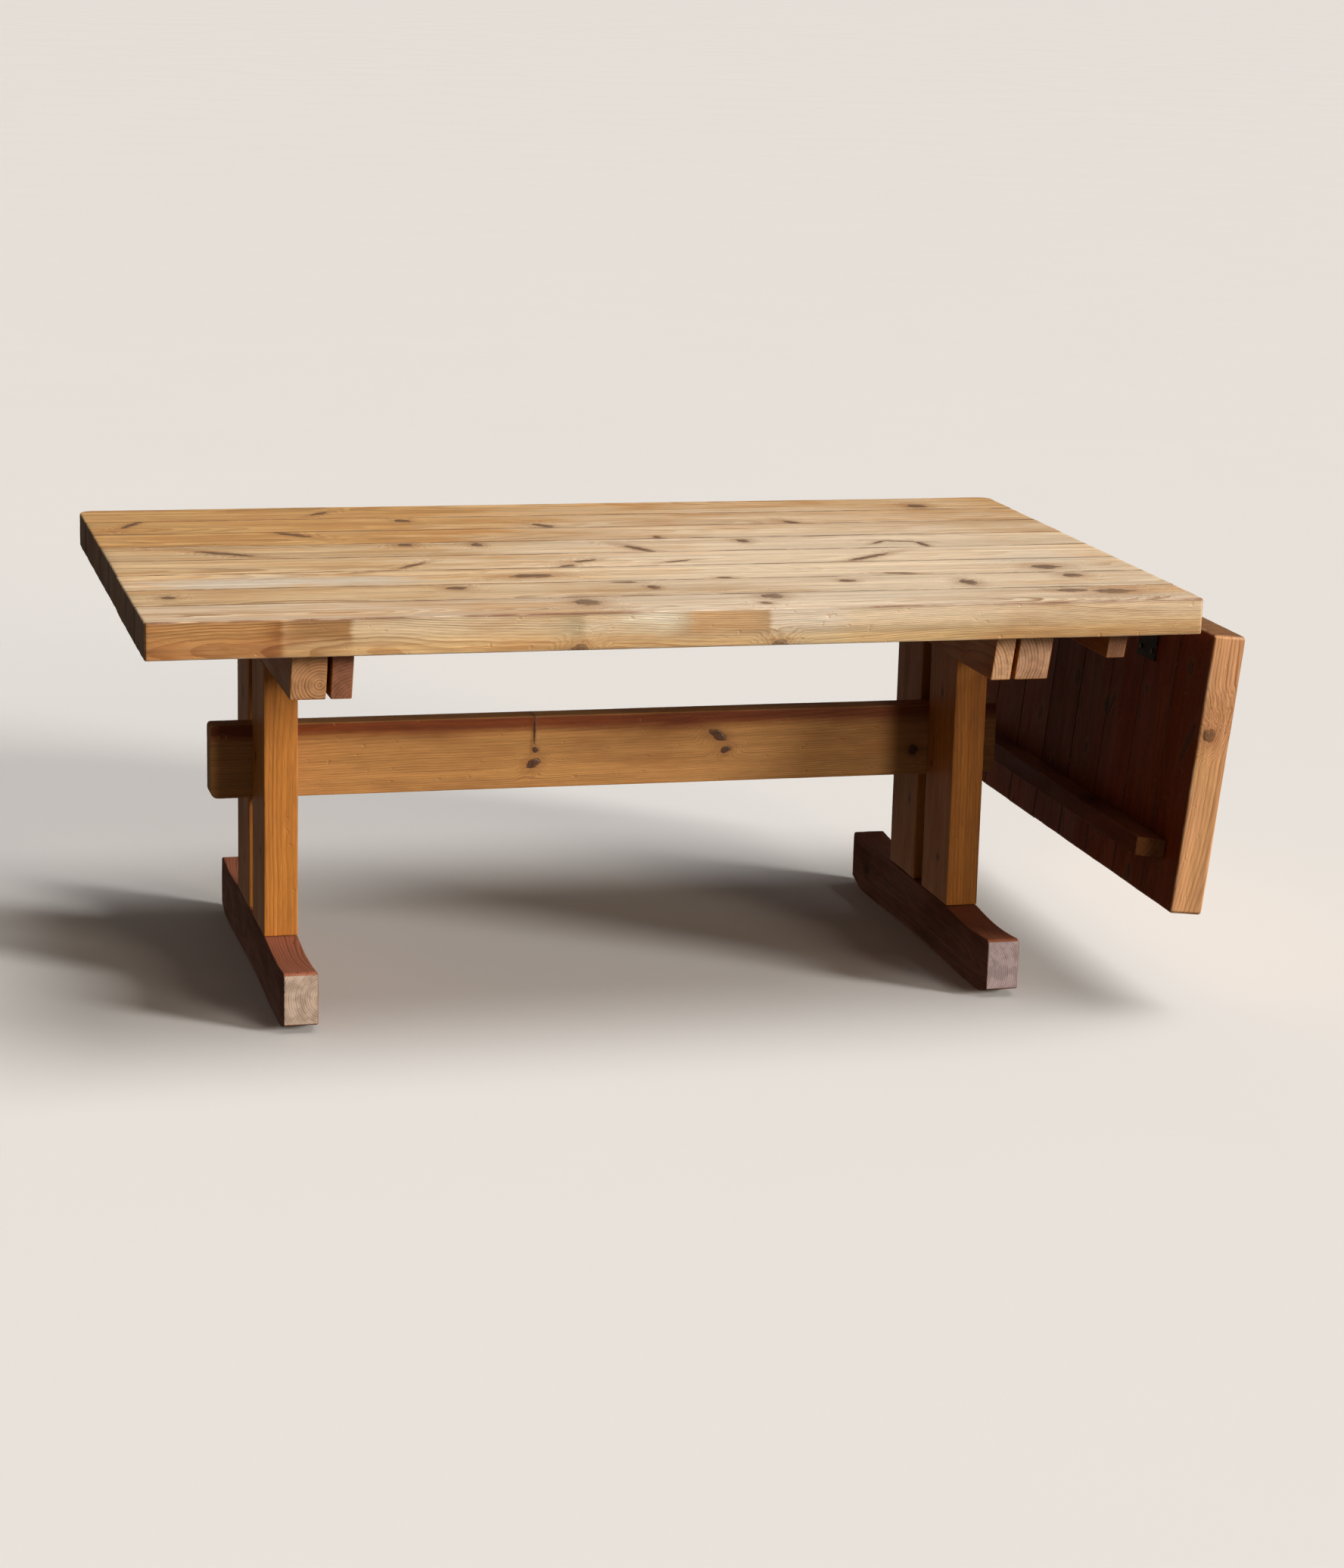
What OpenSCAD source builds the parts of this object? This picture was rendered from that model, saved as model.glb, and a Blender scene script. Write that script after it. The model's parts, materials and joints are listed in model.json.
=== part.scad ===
// Pine trestle table with one drop leaf at its right-hand end.
// The long side faces -Y, the leaf hangs at +X, and Z = 0 is the floor.

/* [Table top] */
// Height of the top above the floor
table_h = 742; // [700:1:780]
// Length of the fixed top
top_len = 1800; // [1600:10:2200]
// Thickness of the fixed top
top_t = 64; // [50:1:75]
// Width of one stave
stave_w = 138; // [110:1:150]
// Radius of the back corners of the top and of the leaf's free end, seen from above
corner_r = 28; // [10:1:40]
// Radius of the crisper front corners
front_corner_r = 7; // [5:1:15]
// Radius along the edges of the top and of the leaf
edge_r = 5; // [3:1:8]

/* [Drop leaf] */
// Length of the leaf, from its hinged end to its free end
leaf_len = 497; // [400:1:560]
// Thickness of the leaf
leaf_t = 61; // [45:1:64]
// Gap between the top and the raised leaf
leaf_gap = 2; // [1:0.5:4]
// Turn from level down to hanging
leaf_drop = 96; // [92:0.5:100]

/* [Trestles] */
// Distance from the end of the top to the middle of a trestle
trestle_inset = 276; // [220:1:320]
// Thickness of the posts, feet and head rails, along X
trestle_t = 60; // [50:1:70]
// Depth of one post, along Y
post_w = 144; // [110:1:150]
// Half of the length of a foot
foot_half = 398; // [340:1:450]
// Height of a foot
foot_h = 106; // [90:1:120]
// Rise of the arch under a foot
foot_arch = 7; // [3:1:12]
// Depth of the scoop in the top of a foot
foot_scoop = 6; // [2:1:8]

/* [Rails and battens] */
// Height of the head rails and of the battens beside them
rail_h = 88; // [70:1:100]
// Half of the length of every rail and batten, where it meets the top
rail_half = 492; // [420:1:520]
// Slope of the undercut ends, sideways run over height
end_slope = 0.32; // [0:0.02:0.5]
// Thickness of the batten beside each head rail
batten_t = 36; // [30:1:45]
// Gap between a head rail and its batten
batten_gap = 7; // [3:1:12]
// Height of the batten near the hinges
hinge_batten_h = 52; // [46:1:60]
// Depth of the batten on the leaf
leaf_batten_h = 50; // [35:1:55]
// Thickness of the hinge batten and the leaf batten
small_batten_t = 34; // [30:1:40]

/* [Stretcher] */
// Thickness of the stretcher and of the gap between two posts
stretcher_t = 46; // [36:1:52]
// Height of the lower edge of the stretcher
stretcher_z = 320; // [250:1:360]
// Height of the stretcher's section
stretcher_h = 132; // [100:1:150]
// Half of the stretcher's length
stretcher_half = 728; // [700:1:760]

/* [Bearers for the raised leaf] */
// Width of a pull-out bearer
loper_w = 60; // [45:1:70]
// Height of a pull-out bearer
loper_h = 32; // [26:1:36]
// Length of a pull-out bearer
loper_len = 776; // [600:1:820]
// Distance of each bearer from the table's middle
loper_y = 198; // [198:1:210]

/* [Hinges] */
// Distance of the hinge pins past the end of the top
pin_out = 12; // [10:1:14]
// Distance of the hinge pins below the top's underside
pin_drop = 8; // [8:0.5:10]
// Radius of a hinge pin
pin_r = 3; // [2.5:0.1:3.5]
// Outer radius of a hinge knuckle
knuckle_r = 6.5; // [6:0.1:7]
// Reach of a hinge plate from the pin
plate_len = 85; // [70:1:95]
// Width of a hinge plate
plate_w = 80; // [60:1:85]
// Distance of the outer hinges from the middle one
hinge_y = 282; // [280:1:360]

/* [Hidden] */
stave_count = 8;
hinge_ys = [-hinge_y, 0, hinge_y];
screw_ys = [-440, -330, -252, -60, 60, 252, 330, 440];
rail_screw_ys = [-440, -300, 300, 440];
half_w = stave_count * stave_w / 2;
under_z = table_h - top_t;
rail_z = under_z - rail_h;
trestle_x = top_len / 2 - trestle_inset;
post_y0 = stretcher_t / 2;
post_y1 = post_y0 + post_w;

// The leaf in its raised place, measured from the pin: its hinged lower corner
leaf_x0 = leaf_gap - pin_out;
leaf_z0 = pin_drop;
// How far the hanging leaf reaches past the pin, and so where the model's middle lies
leaf_reach = (leaf_x0 + edge_r) * cos(leaf_drop) + (leaf_z0 + leaf_t - edge_r) * sin(leaf_drop) + edge_r;
full_len = top_len + pin_out + leaf_reach;
top_x = (top_len - full_len) / 2;
end_x = top_x + top_len / 2;
pin_x = end_x + pin_out;
pin_z = under_z - pin_drop;
hinge_batten_x = end_x - 128;
leaf_batten_x = leaf_x0 + leaf_len - 100;

// The hanging leaf rests against the noses of the bearers
loper_z1 = under_z - 1;
loper_z0 = loper_z1 - loper_h;
loper_gap = 0.3;
loper_nose = (leaf_z0 - (loper_z0 - pin_z) * cos(leaf_drop)) / sin(leaf_drop) - loper_gap;
loper_x1 = pin_x + loper_nose;
loper_x0 = loper_x1 - loper_len;
notch_play = 0.5;
stop_peg_r = 8;

fit = 0.05;
hole_play = 0.15;
eps = 1;
tenon_t = 24;
tenon_side = 22;
foot_tenon = 60;
rail_tenon = 50;
peg_r = 6.5;
peg_in = 22;
dowel_r = 6;
screw_r = 3;
screw_head_r = 6;
screw_head_h = 4;
rail_screw_r = 4;
rail_screw_head_r = 9;
rail_screw_head_h = 5;
screw_bite = 40;
plate_t = 3;
plate_screw_r = 2.2;
plate_screw_head_r = 4.5;
plate_screw_head_h = 2.2;
plate_screw_len = 32;

honey = "#c99b62";
orange = "#a4662c";
redwood = "#7c4327";
iron = "#3c3733";

// ---- Shared shapes ----

// Rectangle from (0, 0) to (w, h) with a radius for each corner, from the origin anticlockwise
module rounded_rectangle(w, h, r) {
    corners = [[0, 0], [w, 0], [w, h], [0, h]];
    difference() {
        square([w, h]);
        for (i = [0:3]) if (r[i] > 0) translate(corners[i]) rotate(90 * i) difference() {
            translate([-eps, -eps]) square(r[i] + eps);
            translate([r[i], r[i]]) circle(r[i], $fn = 48);
        }
    }
}

// A board along X from x0 to x1 and y0 to y1, thickness t above z = 0, with rounded plan corners
// and a rounded section along the long edges that lie on the outside
module board(x0, x1, y0, y1, t, plan_r, front, back) {
    r = edge_r;
    intersection() {
        translate([x0, y0, 0]) linear_extrude(t) rounded_rectangle(x1 - x0, y1 - y0, plan_r);
        translate([x0 - eps, y0, 0]) rotate([90, 0, 90]) linear_extrude(x1 - x0 + 2 * eps)
            rounded_rectangle(y1 - y0, t, [front ? r : 0, back ? r : 0, back ? r : 0, front ? r : 0]);
        translate([x0, y1 + eps, 0]) rotate([90, 0, 0]) linear_extrude(y1 - y0 + 2 * eps)
            rounded_rectangle(x1 - x0, t, [r, r, r, r]);
    }
}

// Rail or batten along Y: its upper face is at z = 0, its ends slope in towards the bottom
module undercut_rail(thick, high) {
    run = high * end_slope;
    translate([-thick / 2, 0, 0]) rotate([90, 0, 90]) linear_extrude(thick)
        polygon([[-rail_half, 0], [rail_half, 0], [rail_half - run, -high], [run - rail_half, -high]]);
}

// Straight hole down from z = 0 with a wider counterbore from the far side
module screw_hole(r, head_r, high, head_depth) {
    translate([0, 0, -high - eps]) cylinder(r = r + hole_play, h = high + 2 * eps, $fn = 32);
    translate([0, 0, -high - eps]) cylinder(r = head_r + 1, h = head_depth + eps, $fn = 32);
}

// Screw whose head bears on the counterbore's shoulder; z = 0 is the face between the two woods
module screw(r, head_r, head_h, grip, bite) {
    translate([0, 0, -grip]) cylinder(r = r, h = grip + bite, $fn = 32);
    translate([0, 0, -grip - head_h]) cylinder(r = head_r, h = head_h, $fn = 32);
}

// Bores in the underside of the top at a line of screws
module bites(x, ys, r, depth) {
    for (y = ys) translate([x, y, under_z - eps]) cylinder(r = r + hole_play, h = depth + eps + 2, $fn = 32);
}

// ---- Where things are ----

function side_x(side) = top_x + side * trestle_x;
function batten_x(side) = side_x(side) - side * (trestle_t / 2 + batten_gap + batten_t / 2);

// Puts a shape drawn in the raised leaf's place, about the pin, into the hanging place
module hang() {
    translate([pin_x, 0, pin_z]) rotate([0, leaf_drop, 0]) children();
}

function stave_y(n) = -half_w + (n - 1) * stave_w;

// The front corners belong to the first stave and the back ones to the last
function plan_radii(n, back_left, back_right) = n == 1 ? [front_corner_r, front_corner_r, 0, 0]
    : n == stave_count ? [0, 0, back_right, back_left] : [0, 0, 0, 0];

// ---- Top and leaf ----

module top_stave(n) {
    y = stave_y(n);
    color(honey) difference() {
        translate([0, 0, under_z]) board(top_x - top_len / 2, end_x, y, y + stave_w, top_t,
            plan_radii(n, corner_r, corner_r), n == 1, n == stave_count);
        for (side = [-1, 1]) {
            bites(side_x(side), [for (s = rail_screw_ys) if (s > y && s < y + stave_w) s], rail_screw_r, screw_bite);
            bites(batten_x(side), [for (s = screw_ys) if (s > y && s < y + stave_w) s], screw_r, screw_bite);
        }
        bites(hinge_batten_x, [for (s = screw_ys) if (s > y && s < y + stave_w) s], screw_r, screw_bite);
        fixed_plate_holes();
    }
}

module leaf_stave(n) {
    y = stave_y(n);
    color(honey) hang() difference() {
        translate([0, 0, leaf_z0]) board(leaf_x0, leaf_x0 + leaf_len, y, y + stave_w, leaf_t,
            plan_radii(n, front_corner_r, corner_r), n == 1, n == stave_count);
        for (s = screw_ys) if (s > y && s < y + stave_w) translate([leaf_batten_x, s, leaf_z0 - eps])
            cylinder(r = screw_r + hole_play, h = screw_bite + eps, $fn = 32);
        leaf_plate_holes();
    }
}

// ---- Trestles ----

function arc(cx, cz, r, a0, a1, n) = [for (i = [0:n]) let (a = a0 + (a1 - a0) * i / n) [cx + r * cos(a), cz + r * sin(a)]];

// Side of a foot: pads near the ends, an arch between them, upswept toes and scooped tops
toe_rise = 16;
pad_y0 = foot_half - 163;
pad_y1 = foot_half - 78;
toe_r = (pow(foot_half - pad_y1, 2) + pow(toe_rise, 2)) / (2 * toe_rise);
toe_a = asin((foot_half - pad_y1) / toe_r);
arch_r = (pow(pad_y0, 2) + pow(foot_arch, 2)) / (2 * foot_arch);
arch_a = asin(pad_y0 / arch_r);
scoop_y0 = post_y1 + 4;
scoop_y1 = foot_half - 14;
scoop_half = (scoop_y1 - scoop_y0) / 2;
scoop_r = (pow(scoop_half, 2) + pow(foot_scoop, 2)) / (2 * foot_scoop);
scoop_a = asin(scoop_half / scoop_r);
nose_r = 12;

function foot_half_outline() = concat(
    arc(0, foot_arch - arch_r, arch_r, 90, 90 - arch_a, 6),
    arc(pad_y1, toe_r, toe_r, -90, -90 + toe_a, 5),
    arc(foot_half - nose_r, foot_h - nose_r, nose_r, 0, 90, 5),
    arc((scoop_y0 + scoop_y1) / 2, foot_h - foot_scoop + scoop_r, scoop_r, scoop_a - 90, -scoop_a - 90, 8));

module foot(side) {
    right = foot_half_outline();
    left = [for (i = [len(right) - 1:-1:1]) [-right[i][0], right[i][1]]];
    color(redwood) difference() {
        translate([side_x(side) - trestle_t / 2, 0, 0]) rotate([90, 0, 90]) linear_extrude(trestle_t)
            polygon(concat(right, left));
        for (m = [0, 1]) mirror([0, m, 0]) translate([side_x(side), 0, foot_h]) mortise(foot_tenon);
    }
}

module mortise(depth) {
    translate([-tenon_t / 2, post_y0 + tenon_side, -depth - 0.5])
        cube([tenon_t, post_w - 2 * tenon_side, depth + 0.5 + eps]);
}

// One post with a tenon at each end and blind holes for the dowels through the stretcher
module post(side, back) {
    x = side_x(side);
    color(orange) mirror([0, back ? 0 : 1, 0]) difference() {
        union() {
            translate([x - trestle_t / 2, post_y0, foot_h]) cube([trestle_t, post_w, rail_z - foot_h]);
            translate([x - tenon_t / 2, post_y0 + tenon_side, foot_h - foot_tenon])
                cube([tenon_t, post_w - 2 * tenon_side, rail_z - foot_h + foot_tenon + rail_tenon]);
        }
        dowel_line(x, dowel_r + hole_play, 42);
    }
}

module head_rail(side) {
    color(orange) difference() {
        translate([side_x(side), 0, under_z]) undercut_rail(trestle_t, rail_h);
        for (m = [0, 1]) mirror([0, m, 0]) translate([side_x(side), 0, rail_z]) rotate([180, 0, 0])
            mirror([0, 1, 0]) mortise(rail_tenon);
        for (y = rail_screw_ys) translate([side_x(side), y, under_z])
            screw_hole(rail_screw_r, rail_screw_head_r, rail_h, 30);
        if (side > 0) loper_notches();
    }
}

module batten(side) {
    color(orange) difference() {
        translate([batten_x(side), 0, under_z]) undercut_rail(batten_t, rail_h);
        for (y = screw_ys) translate([batten_x(side), y, under_z]) screw_hole(screw_r, screw_head_r, rail_h, 40);
        if (side > 0) loper_notches();
    }
}

// ---- Stretcher ----

module stretcher() {
    long = 2 * stretcher_half;
    color(orange) difference() {
        translate([top_x - stretcher_half, stretcher_t / 2, stretcher_z]) rotate([90, 0, 0])
            linear_extrude(stretcher_t) rounded_rectangle(long, stretcher_h, [15, 15, 7, 7]);
        for (side = [-1, 1]) {
            dowel_line(side_x(side), dowel_r + hole_play, stretcher_t);
            peg_line(side, peg_r + hole_play, stretcher_t + 2 * eps);
        }
    }
}

// Two cylinders across the stretcher's middle plane, one above the other; reach is on each side
module dowel_line(x, r, reach) {
    for (dz = [-36, 36]) translate([x, 0, stretcher_z + stretcher_h / 2 + dz]) rotate([90, 0, 0])
        cylinder(r = r, h = 2 * (stretcher_t / 2 + reach), center = true, $fn = 32);
}

module peg_line(side, r, length) {
    for (dz = [-14, 44]) translate([top_x + side * (stretcher_half - peg_in), 0, stretcher_z + stretcher_h / 2 + dz])
        rotate([90, 0, 0]) cylinder(r = r, h = length, center = true, $fn = 32);
}

module stretcher_pegs() {
    color(redwood) for (side = [-1, 1]) peg_line(side, peg_r, stretcher_t - 3);
}

module stretcher_dowels() {
    color(honey) for (side = [-1, 1]) dowel_line(side_x(side), dowel_r, 40);
}

// ---- Battens at the leaf ----

module hinge_batten() {
    color(orange) difference() {
        translate([hinge_batten_x, 0, under_z]) undercut_rail(small_batten_t, hinge_batten_h);
        for (y = screw_ys) translate([hinge_batten_x, y, under_z])
            screw_hole(screw_r, screw_head_r, hinge_batten_h, 16);
        loper_notches();
    }
}

module leaf_batten() {
    color(orange) hang() difference() {
        translate([leaf_batten_x, 0, leaf_z0]) undercut_rail(small_batten_t, leaf_batten_h);
        for (y = screw_ys) translate([leaf_batten_x, y, leaf_z0])
            screw_hole(screw_r, screw_head_r, leaf_batten_h, 16);
    }
}

// ---- Pull-out bearers ----

module loper_notches() {
    for (side = [-1, 1]) translate([loper_x0, side * loper_y - loper_w / 2 - notch_play, loper_z0])
        cube([loper_len, loper_w + 2 * notch_play, loper_h + 5]);
}

// A bearer with an eased nose, which slips under the raised leaf
module loper(side) {
    ease = 7;
    color(honey) difference() {
        translate([loper_x0, side * loper_y + loper_w / 2, loper_z0]) rotate([90, 0, 0]) linear_extrude(loper_w)
            polygon([[0, 0], [loper_len, 0], [loper_len, loper_h - ease], [loper_len - ease, loper_h], [0, loper_h]]);
        stop_peg(side, stop_peg_r + hole_play, eps);
    }
}

module stop_peg(side, r, over) {
    translate([loper_x0 + 50, side * loper_y, loper_z0 - 26]) cylinder(r = r, h = loper_h + 26 + over, $fn = 32);
}

module loper_stop_pegs() {
    color(redwood) for (side = [-1, 1]) stop_peg(side, stop_peg_r, 0);
}

// ---- Hinges: five knuckles, the odd ones on the fixed plate ----

knuckle_w = plate_w / 5;
knuckle_play = 0.3;
plate_edge = knuckle_r + 1;

// One plate in the plane under the wood, reaching towards +X, with the knuckles that k lists
module hinge_plate(knuckles) {
    difference() {
        union() {
            translate([plate_edge, -plate_w / 2, pin_drop - plate_t])
                cube([plate_len - plate_edge, plate_w, plate_t]);
            for (k = knuckles) translate([0, -plate_w / 2 + k * knuckle_w + knuckle_play, 0]) {
                translate([0, 0, pin_drop - plate_t]) cube([plate_edge + eps, knuckle_w - 2 * knuckle_play, plate_t]);
                rotate([-90, 0, 0]) cylinder(r = knuckle_r, h = knuckle_w - 2 * knuckle_play, $fn = 48);
            }
        }
        rotate([90, 0, 0]) cylinder(r = pin_r + fit, h = plate_w + 2 * eps, center = true, $fn = 48);
        plate_screw_grid() translate([0, 0, pin_drop - plate_t - eps])
            cylinder(r = plate_screw_r + hole_play, h = plate_t + 2 * eps, $fn = 24);
    }
}

module plate_screw_grid() {
    for (x = [plate_len * 0.4, plate_len * 0.82]) for (y = [-plate_w * 0.32, plate_w * 0.32])
        translate([x, y, 0]) children();
}

module fixed_hinge_place(n) {
    translate([pin_x, hinge_ys[n - 1], pin_z]) mirror([1, 0, 0]) children();
}

module fixed_plate(n) {
    color(iron) fixed_hinge_place(n) hinge_plate([0, 2, 4]);
}

module leaf_plate(n) {
    color(iron) hang() translate([0, hinge_ys[n - 1], 0]) hinge_plate([1, 3]);
}

module hinge_pin(n) {
    color(iron) translate([pin_x, hinge_ys[n - 1], pin_z]) rotate([90, 0, 0])
        cylinder(r = pin_r, h = plate_w, center = true, $fn = 48);
}

module plate_screw() {
    translate([0, 0, pin_drop - plate_t]) cylinder(r = plate_screw_r, h = plate_screw_len, $fn = 24);
    translate([0, 0, pin_drop - plate_t - plate_screw_head_h])
        cylinder(r = plate_screw_head_r, h = plate_screw_head_h, $fn = 24);
}

module plate_screw_bore() {
    translate([0, 0, pin_drop - eps]) cylinder(r = plate_screw_r + hole_play, h = plate_screw_len, $fn = 24);
}

module fixed_plate_holes() {
    for (n = [1:3]) fixed_hinge_place(n) plate_screw_grid() plate_screw_bore();
}

module leaf_plate_holes() {
    for (n = [1:3]) translate([0, hinge_ys[n - 1], 0]) plate_screw_grid() plate_screw_bore();
}

// ---- Screws ----

module rail_screws() {
    color(iron) for (side = [-1, 1]) for (y = rail_screw_ys) translate([side_x(side), y, under_z])
        screw(rail_screw_r, rail_screw_head_r, rail_screw_head_h, rail_h - 30, screw_bite);
}

module batten_screws() {
    color(iron) for (side = [-1, 1]) for (y = screw_ys) translate([batten_x(side), y, under_z])
        screw(screw_r, screw_head_r, screw_head_h, rail_h - 40, screw_bite - 2);
}

module hinge_batten_screws() {
    color(iron) for (y = screw_ys) translate([hinge_batten_x, y, under_z])
        screw(screw_r, screw_head_r, screw_head_h, hinge_batten_h - 16, screw_bite - 2);
}

module leaf_batten_screws() {
    color(iron) hang() for (y = screw_ys) translate([leaf_batten_x, y, leaf_z0])
        screw(screw_r, screw_head_r, screw_head_h, leaf_batten_h - 16, screw_bite - 2);
}

module fixed_plate_screws() {
    color(iron) for (n = [1:3]) fixed_hinge_place(n) plate_screw_grid() plate_screw();
}

module leaf_plate_screws() {
    color(iron) hang() for (n = [1:3]) translate([0, hinge_ys[n - 1], 0]) plate_screw_grid() plate_screw();
}

// ---- Nodes ----

for (n = [1:stave_count]) top_stave(n);
for (n = [1:stave_count]) leaf_stave(n);
foot(-1);  // left_foot
post(-1, false);  // left_front_post
post(-1, true);  // left_back_post
head_rail(-1);  // left_head_rail
batten(-1);  // left_batten
foot(1);  // right_foot
post(1, false);  // right_front_post
post(1, true);  // right_back_post
head_rail(1);  // right_head_rail
batten(1);  // right_batten
stretcher();
stretcher_pegs();
stretcher_dowels();
hinge_batten();
leaf_batten();
loper(-1);  // front_loper
loper(1);  // back_loper
loper_stop_pegs();
for (n = [1:3]) fixed_plate(n);
for (n = [1:3]) leaf_plate(n);
for (n = [1:3]) hinge_pin(n);
rail_screws();
batten_screws();
hinge_batten_screws();
leaf_batten_screws();
fixed_plate_screws();
leaf_plate_screws();
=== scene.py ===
"""Looks of the pine trestle table with a drop leaf at its right-hand end.

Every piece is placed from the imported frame. Sizes are in metres, in the row frame, and a board's
own coordinates run along its grain (u), across it (v) and through it (w).
"""

import json
import math

import bpy
import numpy as np
from mathutils import Matrix, Vector


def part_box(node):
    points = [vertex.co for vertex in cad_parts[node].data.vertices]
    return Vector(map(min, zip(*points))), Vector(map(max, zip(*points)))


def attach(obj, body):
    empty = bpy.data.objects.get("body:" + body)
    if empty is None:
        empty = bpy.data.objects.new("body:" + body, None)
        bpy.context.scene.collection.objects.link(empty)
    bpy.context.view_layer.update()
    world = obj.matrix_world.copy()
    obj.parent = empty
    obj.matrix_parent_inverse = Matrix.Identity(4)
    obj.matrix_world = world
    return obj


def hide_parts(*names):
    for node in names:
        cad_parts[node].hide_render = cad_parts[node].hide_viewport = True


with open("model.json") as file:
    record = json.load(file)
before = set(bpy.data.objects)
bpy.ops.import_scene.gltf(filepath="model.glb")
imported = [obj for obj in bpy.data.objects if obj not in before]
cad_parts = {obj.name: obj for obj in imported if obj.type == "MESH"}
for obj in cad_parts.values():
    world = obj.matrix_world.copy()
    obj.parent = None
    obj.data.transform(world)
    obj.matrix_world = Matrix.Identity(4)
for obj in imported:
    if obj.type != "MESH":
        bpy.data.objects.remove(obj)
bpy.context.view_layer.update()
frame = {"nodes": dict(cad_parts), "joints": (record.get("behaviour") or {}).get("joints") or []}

MM = 0.001
# The leaf is drawn as if level with the top, and this pose hangs it from its hinge
leaf_hinge = frame["joints"][0]
LEAF_DROP = math.radians(leaf_hinge["range_deg"][1])
HANG = Matrix.Translation(Vector(leaf_hinge["pos_m"])) @ Matrix.Rotation(LEAF_DROP, 4, "Y")
STAVES = 8


def tone(code):
    """Linear colour from a six-digit hex code."""
    parts = [int(code[i : i + 2], 16) / 255 for i in (0, 2, 4)]
    return tuple(((c + 0.055) / 1.055) ** 2.4 if c > 0.04 else c / 12.92 for c in parts) + (1.0,)


# ---------------------------------------------------------------- materials


class Shader:
    """A node material, built one node at a time."""

    def __init__(self, name):
        self.material = bpy.data.materials.new(name)
        self.material.use_nodes = True
        self.tree = self.material.node_tree
        self.tree.nodes.clear()

    def put(self, kind, inputs=(), **settings):
        node = self.tree.nodes.new(kind)
        for key, value in settings.items():
            setattr(node, key, value)
        for key, value in dict(inputs).items():
            if isinstance(value, bpy.types.NodeSocket):
                self.tree.links.new(value, node.inputs[key])
            else:
                node.inputs[key].default_value = value
        return node

    def math(self, operation, *values, clamp=False):
        node = self.put("ShaderNodeMath", enumerate(values), operation=operation, use_clamp=clamp)
        return node.outputs[0]

    def span(self, value, low, high, start=0.0, end=1.0):
        """Start below low, end above high, and a smooth step between."""
        values = {0: value, 1: low, 2: high, 3: start, 4: end}
        return self.put("ShaderNodeMapRange", values, interpolation_type="SMOOTHSTEP").outputs[0]

    def blend(self, share, a, b, kind="MIX"):
        values = {0: share, 6: a, 7: b}
        return self.put("ShaderNodeMix", values, data_type="RGBA", blend_type=kind).outputs[2]

    def noise(self, vector, size, seed, detail=2.0, rough=0.5, twist=0.0):
        """Noise whose blobs are about size metres along each coordinate."""
        shift = (seed * 3.7 % 50, seed * 7.3 % 50, seed * 1.9 % 50)
        scale = tuple(1 / s for s in size)
        spread = self.put("ShaderNodeMapping", {"Vector": vector, "Location": shift, "Scale": scale})
        values = {"Vector": spread.outputs[0], "Scale": 1.0, "Detail": detail, "Roughness": rough,
                  "Distortion": twist}
        return self.put("ShaderNodeTexNoise", values).outputs["Fac"]

    def attribute(self, name):
        return self.put("ShaderNodeAttribute", attribute_name=name).outputs["Fac"]

    def spot(self, vector, place, size, turn=0.0):
        """Distance from a place (u, v) or (u, v, w), in units of an ellipse's half axes."""
        if len(place) == 2:
            values = {"Vector": vector, "Location": (place[0], place[1], 0), "Rotation": (0, 0, turn),
                      "Scale": (size[0], size[1], FAR)}
        else:
            values = {"Vector": vector, "Location": place, "Rotation": (0, -turn, 0),
                      "Scale": (size[0], EDGE_KNOT_DEPTH, size[1])}
        local = self.put("ShaderNodeMapping", values, vector_type="TEXTURE").outputs[0]
        return self.put("ShaderNodeVectorMath", {0: local}, operation="LENGTH").outputs["Value"]

    def finish(self, colour, roughness, bump, depth, **sockets):
        """The surface: colour, roughness and relief from nodes, and constants on the shader's sockets."""
        relief = self.put("ShaderNodeBump", {"Strength": 1.0, "Distance": depth, "Height": bump})
        values = {"Base Color": colour, "Roughness": roughness, "Normal": relief.outputs[0], **sockets}
        surface = self.put("ShaderNodeBsdfPrincipled", values)
        output = self.put("ShaderNodeOutputMaterial")
        self.tree.links.new(surface.outputs[0], output.inputs[0])
        return self.material


# A knot on a face reaches through the board, and one on an edge ends inside it
FAR = 1e4
EDGE_KNOT_DEPTH = 0.03
# The object's axes that run along, across and through a board, by the axis of its grain
GRAIN = {"x": (0, 1, 2), "y": (1, 2, 0), "z": (2, 1, 0), "xz": (0, 2, 1)}
BARE_WOOD = tone("d9cebd")


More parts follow.
